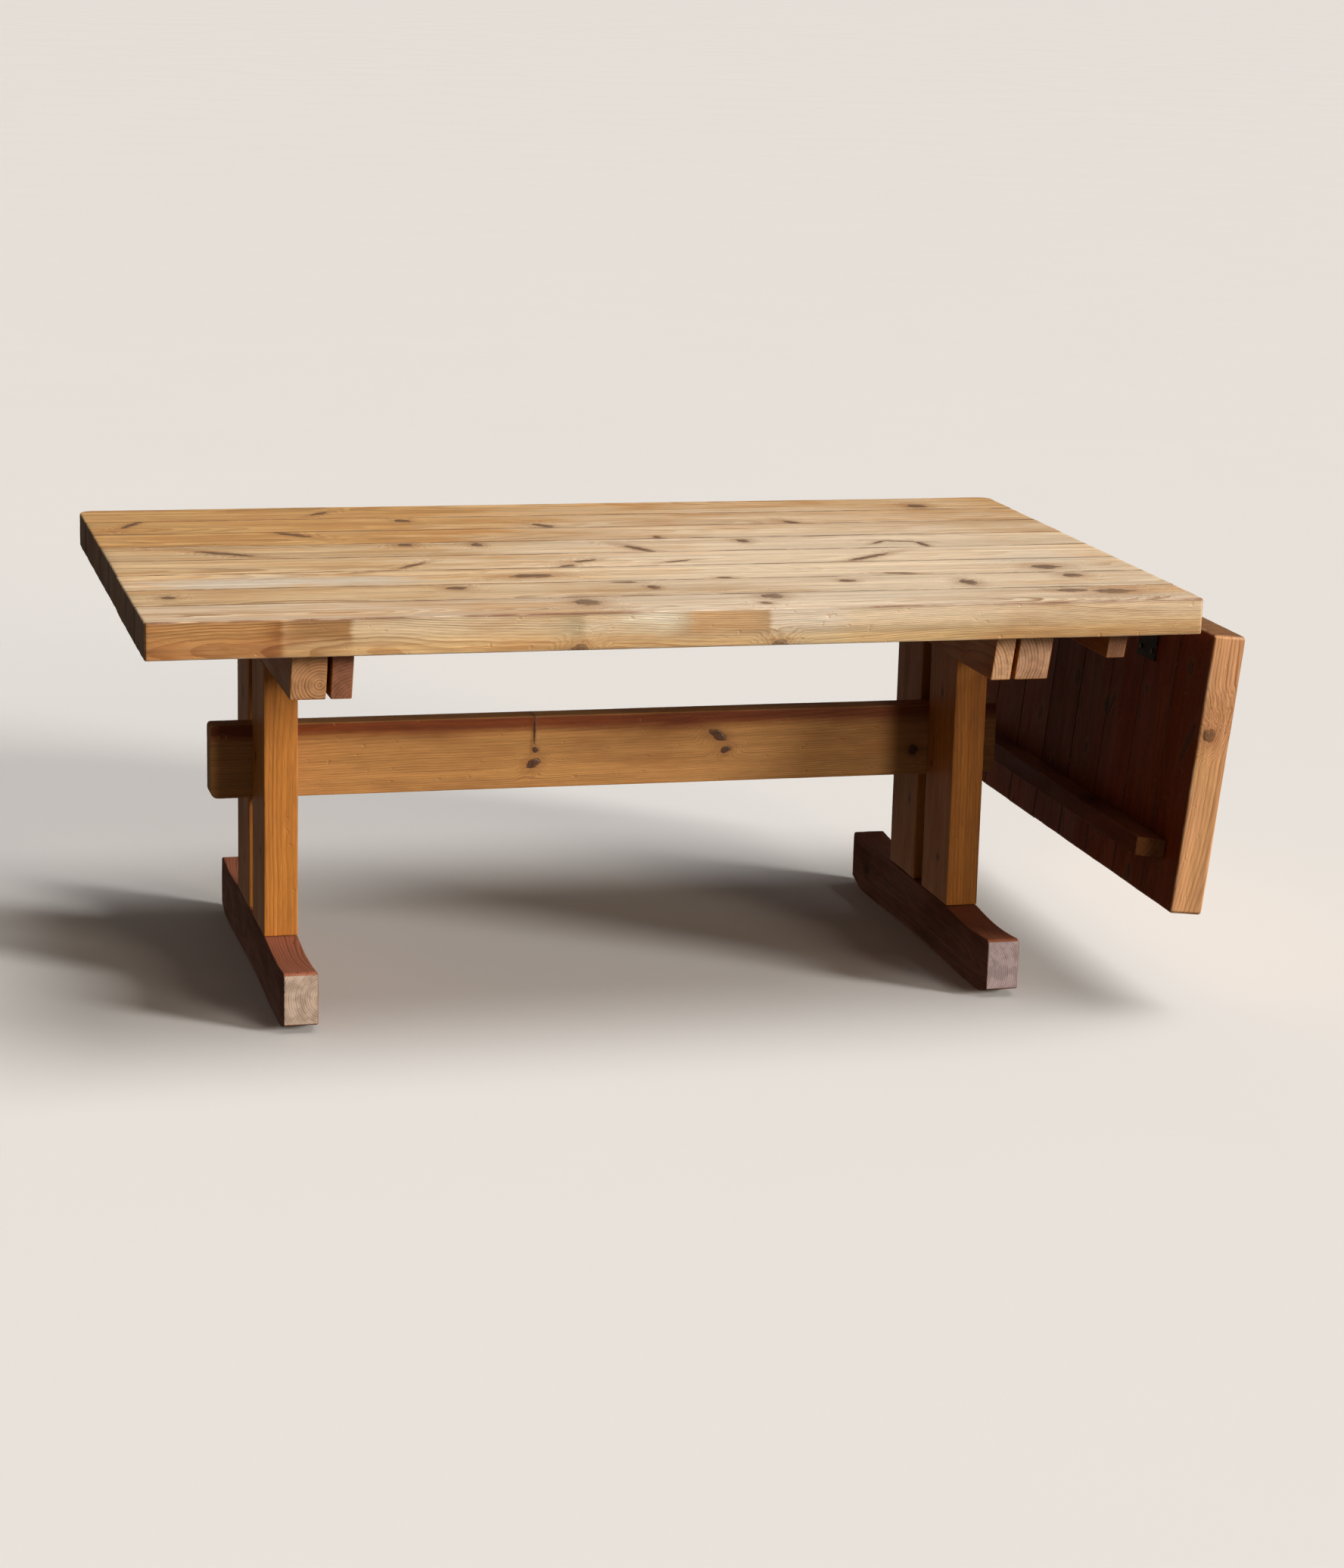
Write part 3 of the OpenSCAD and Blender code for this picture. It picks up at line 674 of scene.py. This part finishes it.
for n in range(1, STAVES + 1):
    low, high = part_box(f"top_stave_{n}")
    middle = (low.y + high.y) / 2
    knots = board_knots(TOP_KNOTS[n], low, LENGTH)
    worn = BARE_PATCHES if n in WORN_STAVES else []
    look, bands, fade = shade(TOP, TOP_SHADES[n - 1], scratch=0.25), [], TOP_FADE
    if n == 1:
        knots += [((along_top(share), low.y, low.z + 2 * MM), 13 * MM, 8 * MM, 0.0) for share in EDGE_KNOTS]
        look, bands, fade = front_stave_look(look, low), front_stave_bands(low), FRONT_FADE
    if n in GOLDEN_STAVES:
        look.update(early=tone("d4a66a"), deep=tone("b07a42"))
    look["ring"] *= RING_WIDTHS[n - 1]
    pith = (middle + PITHS[n - 1][0], low.z + PITHS[n - 1][1])
    material = pine(f"top_pine_{n}", 10 + n, "x", look, knots, pith, worn, bands, fade)
    timber(f"top_board_{n}", f"top_stave_{n}", "table", material, "x", low, high,
           step=0.014, arris=5 * MM, wear=0.7, uneven=0.9 * MM, seed=100 + n,
           corners=plan_corners(n, PLAN_R, PLAN_R), form=slab_form(n, 1.6 * MM, 1.0 * MM),
           extra=(*near_corners(n, low, high), ()), seams=stave_side(n), tight=SEAM_R, end_wear=1.3 * MM)

# ---------------------------------------------------------------- the leaf

# The leaf's under tone darkens its inner face: partly an unfaded finish, partly painted shade
LEAF = dict(TOP, under=tone("b87236"), contrast=0.85, specular=0.12, early=tone("d6a874"), ring=0.0034)
LEAF_SHADES = (1.0, 0.92, 1.05, 0.97, 0.9, 1.02, 0.95, 1.0)
LEAF_KNOTS = {
    1: [(0.15, 0.55, 12, 9, 0), (0.40, 0.3, 40, 7, 30)],
    2: [(0.96, 0.5, 16, 10, 0), (0.3, 0.8, 9, 7, 0)],
    3: [(0.42, 0.9, 26, 7, 30), (0.86, 0.65, 15, 10, 10), (0.15, 0.9, 18, 12, 0)],
    4: [(0.43, 0.04, 14, 9, 0), (0.62, 0.5, 10, 7, 0)],
    5: [(0.39, 0.15, 14, 10, 0), (0.75, 0.6, 11, 8, 0)],
    6: [(0.2, 0.4, 12, 9, 0), (0.6, 0.3, 13, 8, 20)],
    7: [(0.5, 0.6, 14, 9, 0), (0.85, 0.3, 10, 8, 0)],
    8: [(0.3, 0.5, 12, 8, 0), (0.7, 0.4, 12, 9, 0)],
}
for n in range(1, STAVES + 1):
    low, high = local_box(f"leaf_stave_{n}", HANG)
    high[2] -= 0.3 * MM
    knots = board_knots(LEAF_KNOTS[n], low, high[0] - low[0])
    look = shade(LEAF, LEAF_SHADES[n - 1])
    if n == 1:
        knots.append(((low[0] + 0.178, low[1], (low[2] + high[2]) / 2 - 0.011), 12 * MM, 10 * MM, 0.0))
        look.update(early=tone("c89468"), late=tone("85502c"))
    pith = ((low[1] + high[1]) / 2 + PITHS[-n][0], high[2] + 0.04)
    material = pine(f"leaf_pine_{n}", 40 + n, "x", look, knots, pith)
    timber(f"leaf_board_{n}", f"leaf_stave_{n}", "leaf", material, "x", low, high,
           step=0.014, arris=7 * MM, wear=0.55, uneven=0.8 * MM, seed=200 + n,
           corners=plan_corners(n, FRONT_R, PLAN_R), form=slab_form(50 + n, 0.4 * MM, 1.2 * MM),
           extra=(*near_corners(n, low, high), ()), seams=stave_side(n), tight=SEAM_R, pose=HANG)

# ---------------------------------------------------------------- rails and battens

SLOPE = 0.32
loper_low, loper_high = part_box("front_loper")
LOPER_Y = abs(loper_low.y + loper_high.y) / 2
LOPER_HALF = (loper_high.y - loper_low.y) / 2 + 0.5 * MM


def undercut(notch_floor=None):
    """Slopes both ends in towards the bottom, and sinks a notch round each pull-out bearer."""

    def form(points, low, high):
        depth = high[2] - points[:, 2]
        share = (np.abs(points[:, 1]) / high[1]) ** 10
        points[:, 1] -= np.sign(points[:, 1]) * depth * SLOPE * share
        if notch_floor is not None:
            inside = np.abs(np.abs(points[:, 1]) - LOPER_Y) <= LOPER_HALF + 1e-5
            upper = inside & (points[:, 2] > notch_floor)
            points[upper, 2] = notch_floor
        return points

    return form


def notch_places():
    """Divisions of a rail at both edges of each notch, and just outside them."""
    return [side * (LOPER_Y + edge * (LOPER_HALF + gap))
            for side in (-1, 1) for edge in (-1, 1) for gap in (0.0, 0.2 * MM)]


def shafts(ys, x, radius, bottom, depth):
    """Counterbores from below at every screw of one line."""
    return [((x, y, bottom + depth / 2), 2, radius, depth + 2 * MM) for y in ys]


def rail_look(amount, end, **changes):
    """The frame's look with end grain of its own tone."""
    return shade(FRAME, amount, end=tone(end), end_share=0.8, **changes)


SCREW_YS = [side * y * MM for side in (-1, 1) for y in (60, 252, 330, 440)]
RAIL_SCREW_YS = [side * y * MM for side in (-1, 1) for y in (300, 440)]
NOTCH_FLOOR = loper_low.z - 0.5 * MM

WIDE_RING = 5.5 * MM
# Piece, node, look, whether the bearers run through it, counterbore radius and depth in mm, places
# of its screws, and how far its rings' middle lies from its own middle and from its underside
RAILS = [
    ("left_rail_timber", "left_head_rail", rail_look(1.0, "c0946c", ring=WIDE_RING), False, 10, 30,
     RAIL_SCREW_YS, (0.014, 0.03)),
    ("left_batten_timber", "left_batten", rail_look(0.85, "8e6050", ring=WIDE_RING), False, 7, 40,
     SCREW_YS, (0.02, -0.01)),
    ("right_rail_timber", "right_head_rail", rail_look(1.0, "c09c80", ring=WIDE_RING), True, 10, 30,
     RAIL_SCREW_YS, (-0.07, 0.03)),
    ("right_batten_timber", "right_batten", rail_look(1.05, "d8b08a", ring=WIDE_RING), True, 7, 40,
     SCREW_YS, (-0.09, 0.0)),
    # The hinge batten's darker end grain is a painted shadow of the hanging leaf
    ("hinge_batten_timber", "hinge_batten", rail_look(0.9, "806050"), True, 7, 16,
     SCREW_YS, (-0.05, 0.03)),
]
RAIL_KNOTS = ((-0.31, 0.01), (0.08, -0.02), (0.36, 0.0))
for i, (name, node, look, notched, radius, depth, screw_ys, pith) in enumerate(RAILS):
    low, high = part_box(node)
    middle = (low.x + high.x) / 2
    knots = [((y, (low.z + high.z) / 2 + up), 0.012, 0.008, 0.2) for y, up in RAIL_KNOTS]
    material = pine(f"rail_pine_{i}", 70 + i, "y", look, knots, pith=(low.z + pith[1], middle + pith[0]))
    timber(name, node, "table", material, "y", low, high, step=0.016, arris=3 * MM, wear=0.8,
           uneven=0.5 * MM, seed=300 + i, form=undercut(NOTCH_FLOOR if notched else None),
           extra=((), notch_places() if notched else (), ()),
           drills=shafts(screw_ys, middle, radius * MM, low.z, depth * MM))

low, high = local_box("leaf_batten", HANG)
middle = (low[0] + high[0]) / 2
# A much darker, redder copy of the frame's look: painted shade for a batten on the leaf's shaded inner
# face, with the red of the unfaded finish
look = dict(FRAME, early=tone("7a4022"), late=tone("4a2010"), deep=tone("5c2c16"), specular=0.1)
material = pine("leaf_batten_pine", 79, "y", look, [((-0.19, -0.02), 0.02, 0.01, 0.5)],
                pith=(low[2] - 0.03, middle - 0.03))
timber("leaf_batten_timber", "leaf_batten", "leaf", material, "y", low, high, step=0.016,
       arris=3 * MM, wear=0.8, uneven=0.5 * MM, seed=310, form=undercut(), pose=HANG, end_wear=1.0 * MM)

# ---------------------------------------------------------------- posts

# Two sets of knots: shares of the height and width, half length and half width in mm
POST_KNOTS = [[(0.3, 0.3, 7, 5), (0.62, 0.7, 10, 7)],
              [(0.79, 0.5, 9, 6), (0.16, 0.4, 7, 5), (0.5, 0.8, 5, 4)]]
POST_SHADES = (1.05, 0.98, 1.0, 0.9)

for i, side in enumerate(("left", "right")):
    foot_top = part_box(f"{side}_foot")[1].z
    rail_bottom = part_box(f"{side}_head_rail")[0].z
    for j, place in enumerate(("front", "back")):
        node = f"{side}_{place}_post"
        low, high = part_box(node)
        low.z, high.z = foot_top, rail_bottom
        width, height = high.y - low.y, high.z - low.z
        knots = [((low.z + a * height, low.y + b * width), p * MM, q * MM, 0.1)
                 for a, b, p, q in POST_KNOTS[(i + j) % 2]]
        pith = ((low.y + high.y) / 2 + (0.05, -0.07)[j], low.x + (0.09, -0.05)[i])
        material = pine(f"post_pine_{i}{j}", 80 + 2 * i + j, "z", shade(FRAME, POST_SHADES[2 * i + j]),
                        knots, pith)
        timber(f"{node}_timber", node, "table", material, "z", low, high, step=0.014,
               arris=3.5 * MM, wear=0.7, uneven=0.6 * MM, seed=320 + 2 * i + j)

# ---------------------------------------------------------------- stretcher

STRETCHER = dict(FRAME, early=tone("be8a4e"), late=tone("804e26"), deep=tone("9c6632"), knot=tone("4c2c22"),
                 heart=tone("1e1014"), rise=0.012, lean=0.02)
low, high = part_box("stretcher")
# A darker band along the top of the stretcher's faces: partly a stain, partly a painted shadow of the top
STRETCHER["hem"] = (1, high.z - 0.03, high.z - 0.004, tone("b47c58"))
PEG_R, PEG_GAP = 6.5 * MM, 0.15 * MM
peg_low, peg_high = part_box("stretcher_pegs")
peg_xs = [peg_low.x + PEG_R, peg_high.x - PEG_R]
peg_zs = [peg_low.z + PEG_R, peg_high.z - PEG_R]
# Shares of the length and height, half length and half width in mm, and turn in radians
STRETCHER_KNOTS = ((0.398, 0.35, 12, 8, 0.5), (0.4, 0.53, 5, 5, 0), (0.399, 0.84, 2, 24, 0.0),
                   (0.632, 0.66, 17, 8, -0.5), (0.643, 0.45, 10, 6, 0.2), (0.89, 0.36, 10, 9, 0))
knots = [((low.x + a * (high.x - low.x), low.z + b * (high.z - low.z)), p * MM, q * MM, turn)
         for a, b, p, q, turn in STRETCHER_KNOTS]
material = pine("stretcher_pine_face", 90, "xz", STRETCHER, knots, pith=(high.z + 0.015, 0.05))
timber("stretcher_timber", "stretcher", "table", material, "x", low, high, step=0.014,
       arris=3 * MM, wear=0.7, uneven=0.6 * MM, seed=340,
       corners=[(0, 2, a, b, (15 if b < 0 else 7) * MM) for a in (-1, 1) for b in (-1, 1)],
       extra=(np.concatenate([low.x + NEAR_CORNER, high.x - NEAR_CORNER]), (),
              np.concatenate([low.z + NEAR_CORNER, high.z - NEAR_CORNER])),
       drills=[((x, 0, z), 1, PEG_R + PEG_GAP, 0.1) for x in peg_xs for z in peg_zs])

# ---------------------------------------------------------------- feet

TOE_RISE, TOE_START = 16 * MM, 0.804
ARCH, ARCH_END = 7 * MM, 0.59
SCOOP, SCOOP_START, SCOOP_END = 6 * MM, 0.43, 0.965


def foot_form(points, low, high):
    """Pads near the ends, an arch between them, upswept toes and a scooped top."""
    share = np.abs(points[:, 1]) / high[1]
    under = np.where(share < ARCH_END, ARCH * (1 - (share / ARCH_END) ** 2), 0.0)
    toe = np.clip((share - TOE_START) / (1 - TOE_START), 0, 1)
    under += TOE_RISE * toe**2
    middle, half = (SCOOP_START + SCOOP_END) / 2, (SCOOP_END - SCOOP_START) / 2
    over = SCOOP * np.clip(1 - ((share - middle) / half) ** 2, 0, 1)
    level = (points[:, 2] - low[2]) / (high[2] - low[2])
    points[:, 2] += under * (1 - level) - over * level
    return points


for i, side in enumerate(("left", "right")):
    low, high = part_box(f"{side}_foot")
    middle = (low.x + high.x) / 2
    # The right foot's darker top tone is a painted shadow of the hanging leaf
    look = dict(FOOT, end=tone(("bca896", "9e9092")[i]), trodden_and_lit=tone(("b8745a", "844e38")[i]))
    material = pine(f"foot_pine_{i}", 95 + i, "y", look, [((0.31, 0.05), 0.012, 0.009, 0.0)],
                    pith=(0.055, middle + (0.034, -0.06)[i]))
    timber(f"{side}_foot_timber", f"{side}_foot", "table", material, "y", low, high,
           step=0.012, arris=4 * MM, wear=0.9, uneven=1.0 * MM, seed=350 + i,
           corners=[(1, 2, a, 1, 12 * MM) for a in (-1, 1)], form=foot_form,
           extra=((), np.concatenate([low.y + NEAR_CORNER, high.y - NEAR_CORNER]),
                  np.concatenate([high.z - NEAR_CORNER[:4]])))

# ---------------------------------------------------------------- pull-out bearers


def nose_form(points, low, high):
    """The bearer's nose is eased at its top."""
    ease = 7 * MM
    over = (points[:, 0] - (high[0] - ease)) + (points[:, 2] - (high[2] - ease)) - ease
    points[:, 2] -= np.clip(over, 0, ease)
    return points


for i, node in enumerate(("front_loper", "back_loper")):
    low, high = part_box(node)
    material = pine(f"loper_pine_{i}", 98 + i, "x", shade(TOP, 0.8),
                    [(((low.x + high.x) / 2, (low.y + high.y) / 2 + 0.01), 0.014, 0.008, 0.3)],
                    pith=((low.y + high.y) / 2 + 0.02, low.z - 0.06))
    timber(f"{node}_timber", node, "table", material, "x", low, high, step=0.016,
           arris=2 * MM, wear=0.5, uneven=0.3 * MM, seed=360 + i, form=nose_form,
           extra=(high.x - NEAR_CORNER[:3], (), high.z - NEAR_CORNER[:3]))

# ---------------------------------------------------------------- pegs, hinges and screws

peg_wood = pine("peg_wood", 120, "xz", shade(FOOT, 0.8, end=tone("3c2212")), pith=(0.0, 0.0))
dowel_wood = pine("dowel_wood", 121, "y", TOP, pith=(0.4, 0.0))
hinge_iron = metal("hinge_iron", 130, tone("5a5550"), tone("2a2725"), tone("4a2a18"), 0.42)
screw_steel = metal("screw_steel", 131, tone("8c8a86"), tone("4c4a48"), tone("5a3a24"), 0.32)


def dress(node, material):
    frame["nodes"][node].data.materials.clear()
    frame["nodes"][node].data.materials.append(material)


for node in frame["nodes"]:
    if node.endswith("_pegs"):
        dress(node, peg_wood)
    elif node.endswith("_dowels"):
        dress(node, dowel_wood)
    elif node.startswith("hinge_") and not node.startswith("hinge_batten"):
        dress(node, hinge_iron)
    elif node.endswith("_screws"):
        dress(node, screw_steel)

# ---------------------------------------------------------------- floor, light and camera

FLOOR_HALF = 400.0
WALL_SIDES = 72


def pale_paint(name, size, seed, detail, tones, gloss, depth, **sockets):
    """Plain studio paint whose tone and gloss vary faintly over areas of about size metres."""
    paint = Shader(name)
    place = paint.put("ShaderNodeTexCoord").outputs["Object"]
    cloud = paint.noise(place, (size, size, size), seed, detail)
    colour = paint.blend(cloud, tone(tones[0]), tone(tones[1]))
    return paint.finish(colour, paint.span(cloud, 0.3, 0.7, *gloss), cloud, depth, **sockets)


def seen_only(piece, material, shadow):
    """Lets a piece of staging be seen and take shadows, but throw no light on the table."""
    piece.data.materials.append(material)
    piece.visible_diffuse = piece.visible_glossy = False
    piece.visible_shadow = shadow
    return piece


def floor_mesh():
    points = np.array([(x, y, 0.0) for x in (-1, 1) for y in (-1, 1)]) * FLOOR_HALF
    return new_mesh("floor", points, np.array([(0, 2, 3, 1)]), {})


def backdrop_mesh():
    """A round wall, far away."""
    here = np.arange(WALL_SIDES)
    after = (here + 1) % WALL_SIDES
    turns = 2 * math.pi * here / WALL_SIDES
    ring = np.stack([np.cos(turns), np.sin(turns), 0 * turns], 1) * FLOOR_HALF * 0.95
    points = np.concatenate([ring, ring + (0, 0, FLOOR_HALF)])
    quads = np.stack([after, here, here + WALL_SIDES, after + WALL_SIDES], 1)
    return new_mesh("backdrop", points, quads, {})


GLOW = {"Emission Color": tone("e7e2da"), "Emission Strength": 1.0, "Specular IOR Level": 0.0}
floor_paint = pale_paint("pale_floor", 0.8, 7, 3.0, ("dddbd8", "d7d5d2"), (0.7, 0.8), 0.0005)
wall_paint = pale_paint("pale_backdrop", 90, 8, 1.0, ("0a0a0a", "0b0b0b"), (0.9, 0.9), 0.0, **GLOW)
floor = seen_only(floor_mesh(), floor_paint, shadow=True)
backdrop = seen_only(backdrop_mesh(), wall_paint, shadow=False)


def soft_light(name, azimuth, elevation, spread, power, colour):
    """Even light from a wide source far away. Azimuth 0 lies in front of the table, and 90 at +X."""
    a, e = math.radians(azimuth), math.radians(elevation)
    way = Vector((math.sin(a) * math.cos(e), -math.cos(a) * math.cos(e), math.sin(e)))
    lamp = bpy.data.lights.new(name, "SUN")
    lamp.angle, lamp.energy, lamp.color = math.radians(spread), power, colour
    holder = bpy.data.objects.new(name, lamp)
    bpy.context.scene.collection.objects.link(holder)
    holder.location = way * 5
    holder.rotation_mode = "QUATERNION"
    holder.rotation_quaternion = (-way).to_track_quat("-Z", "Y")


soft_light("key", 52, 16, 12, 3.5, (1.0, 0.97, 0.93))
soft_light("fill", 28, 14, 14, 1.0, (1.0, 0.84, 0.66))
soft_light("overhead", 75, 66, 40, 2.3, (1.0, 0.99, 0.98))

world = bpy.data.worlds.new("studio")
bpy.context.scene.world = world
world.use_nodes = True
world.node_tree.nodes["Background"].inputs["Color"].default_value = (1.0, 0.86, 0.76, 1.0)
world.node_tree.nodes["Background"].inputs["Strength"].default_value = 0.12

# The camera stands to the left of the table's front, above it, and looks a little down and right
CAMERA_PLACE = Vector((-1.5325, -6.0668, 1.8205))
YAW, PITCH, ROLL = (math.radians(a) for a in (14.843, 13.511, 1.497))
FOCAL_OVER_LONG_SIDE = 2.261
camera_data = bpy.data.cameras.new("camera")
camera_data.sensor_width = 36.0
camera_data.lens = 36.0 * FOCAL_OVER_LONG_SIDE
camera_data.clip_end = 1000.0
camera = bpy.data.objects.new("camera", camera_data)
bpy.context.scene.collection.objects.link(camera)
forward = Vector((math.sin(YAW) * math.cos(PITCH), math.cos(YAW) * math.cos(PITCH), -math.sin(PITCH)))
right = Vector((math.cos(YAW), -math.sin(YAW), 0.0))
up = right.cross(forward)
right, up = right * math.cos(ROLL) + up * math.sin(ROLL), up * math.cos(ROLL) - right * math.sin(ROLL)
camera.matrix_world = Matrix((
    (right.x, up.x, -forward.x, CAMERA_PLACE.x),
    (right.y, up.y, -forward.y, CAMERA_PLACE.y),
    (right.z, up.z, -forward.z, CAMERA_PLACE.z),
    (0, 0, 0, 1),
))
bpy.context.scene.camera = camera
bpy.context.scene.view_settings.view_transform = "Standard"
